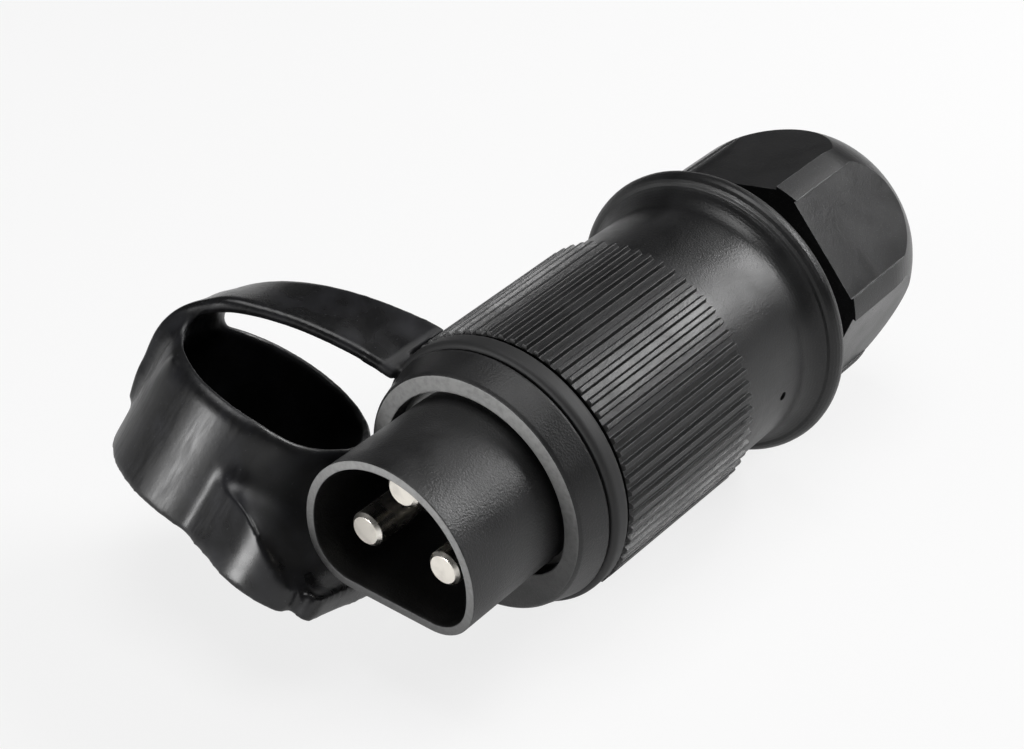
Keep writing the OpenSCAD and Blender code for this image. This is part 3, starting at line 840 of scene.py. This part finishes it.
@dataclass(frozen=True)
class SoftBox:
    """A square lamp behind white cloth, aimed at the plug, with its lengths in metres."""

    name: str
    place: Xyz
    size: Span
    power: float
    aim: Xyz = (-0.01, 0.05, 0.0)

    def build(self) -> None:
        """Hangs the lamp."""
        lamp = bpy.data.lights.new(self.name, "AREA")
        lamp.shape = "RECTANGLE"
        lamp.size, lamp.size_y = self.size
        lamp.energy = self.power
        holder = bpy.data.objects.new(self.name, lamp)
        holder.location = self.place
        holder.rotation_euler = (Vector(self.aim) - Vector(self.place)).to_track_quat("-Z", "Y").to_euler()
        holder.visible_camera = False
        bpy.context.scene.collection.objects.link(holder)


@dataclass
class Studio:
    """A white floor, a dim room with a white horizon, soft lamps and the camera, with lengths in metres."""

    lamps: tuple[SoftBox, ...] = (
        SoftBox("key_box", (0.257, 0.462, 0.355), (0.36, 0.17), 2.7),
        SoftBox("side_box", (-0.05, 0.54, 0.335), (0.2, 0.14), 0.15),
        SoftBox("top_box", (0.0, 0.05, 0.6), (0.37, 0.37), 1.6),
        SoftBox("front_box", (-0.174, -0.518, 0.1), (0.2, 0.22), 1.8),
    )
    floor_size: float = 12.0
    floor_cells: int = 8
    paper: Rgb = (0.82, 0.82, 0.82)
    paper_roughness: float = 0.9
    seen_glow: float = 0.8
    mirrored_glow: float = 0.3
    room: float = 0.06
    horizon: Span = (0.01, 0.08)
    eye: Xyz = (0.1404, -0.1544, 0.1688)
    look: Xyz = (-0.5096, 0.6534, -0.5599)
    lens: float = 73.83
    sensor_width: float = 36.0
    clip_start: float = 0.005

    def build_floor(self) -> None:
        """Lays the floor just under the plug."""
        bm = bmesh.new()
        cells = self.floor_cells
        bmesh.ops.create_grid(bm, x_segments=cells, y_segments=cells, size=self.floor_size / 2)
        bmesh.ops.translate(bm, verts=bm.verts, vec=(0, 0, CAD_BOX[0][2]))
        mesh = bpy.data.meshes.new("floor")
        bm.to_mesh(mesh)
        bm.free()
        floor = bpy.data.objects.new("floor", mesh)
        bpy.context.scene.collection.objects.link(floor)
        mesh.materials.append(self.floor_material())

    def floor_material(self) -> bpy.types.Material:
        """Builds the floor's white paper, which glows enough to stay white around the plug and keep its shadow.

        Returns:
            The material.
        """
        finish = Finish("white_paper")
        finish.shader.inputs["Base Color"].default_value = (*self.paper, 1)
        finish.shader.inputs["Roughness"].default_value = self.paper_roughness
        finish.shader.inputs["Specular IOR Level"].default_value = 0.0
        rays = finish.add("ShaderNodeLightPath").outputs
        seen = finish.larger(rays["Is Camera Ray"], rays["Is Transmission Ray"])
        share = finish.larger(finish.both(seen, self.seen_glow),
                              finish.both(rays["Is Glossy Ray"], self.mirrored_glow))
        glow = finish.add("ShaderNodeEmission", {}, {"Color": (1, 1, 1, 1), "Strength": 1.0})
        mix = finish.add("ShaderNodeMixShader", {}, {0: share, 1: finish.shader.outputs[0], 2: glow.outputs[0]})
        finish.links.new(mix.outputs[0], finish.nodes["Material Output"].inputs["Surface"])
        return finish.material

    def build_room(self) -> None:
        """Builds the room: dim, but white where the camera sees it and where the floor ends."""
        world = bpy.data.worlds.new("studio")
        bpy.context.scene.world = world
        world.use_nodes = True
        graph = Graph(world.node_tree)
        height = graph.part(graph.add("ShaderNodeTexCoord").outputs["Generated"], "Z")
        rays = graph.add("ShaderNodeLightPath").outputs
        white = graph.both(rays["Is Glossy Ray"], graph.spread(height, self.horizon, FALL))
        white = graph.larger(white, rays["Is Camera Ray"])
        white = graph.larger(white, rays["Is Transmission Ray"])
        wall = graph.nodes["Background"].inputs
        graph.links.new(graph.spread(white, RISE, (self.room, 1.0)), wall["Strength"])
        wall["Color"].default_value = (1, 1, 1, 1)

    def build_camera(self) -> None:
        """Sets the camera at the viewing angle of the picture."""
        data = bpy.data.cameras.new("camera")
        data.lens = self.lens
        data.sensor_width = self.sensor_width
        data.clip_start = self.clip_start
        camera = bpy.data.objects.new("camera", data)
        camera.location = self.eye
        camera.rotation_euler = Vector(self.look).to_track_quat("-Z", "Y").to_euler()
        bpy.context.scene.collection.objects.link(camera)
        bpy.context.scene.camera = camera

    def build(self) -> None:
        """Builds the whole studio."""
        self.build_floor()
        self.build_room()
        for lamp in self.lamps:
            lamp.build()
        self.build_camera()
        bpy.context.scene.view_settings.view_transform = "Standard"


def main() -> None:
    """Builds the studio, then dresses the plug piece by piece."""
    logging.basicConfig(level=logging.INFO, format="%(name)s: %(message)s")
    Studio().build()
    PlugBody().dress()
    Contacts().dress()
    Gland().dress()
    RubberCap().dress()


if __name__ == "__main__":
    main()
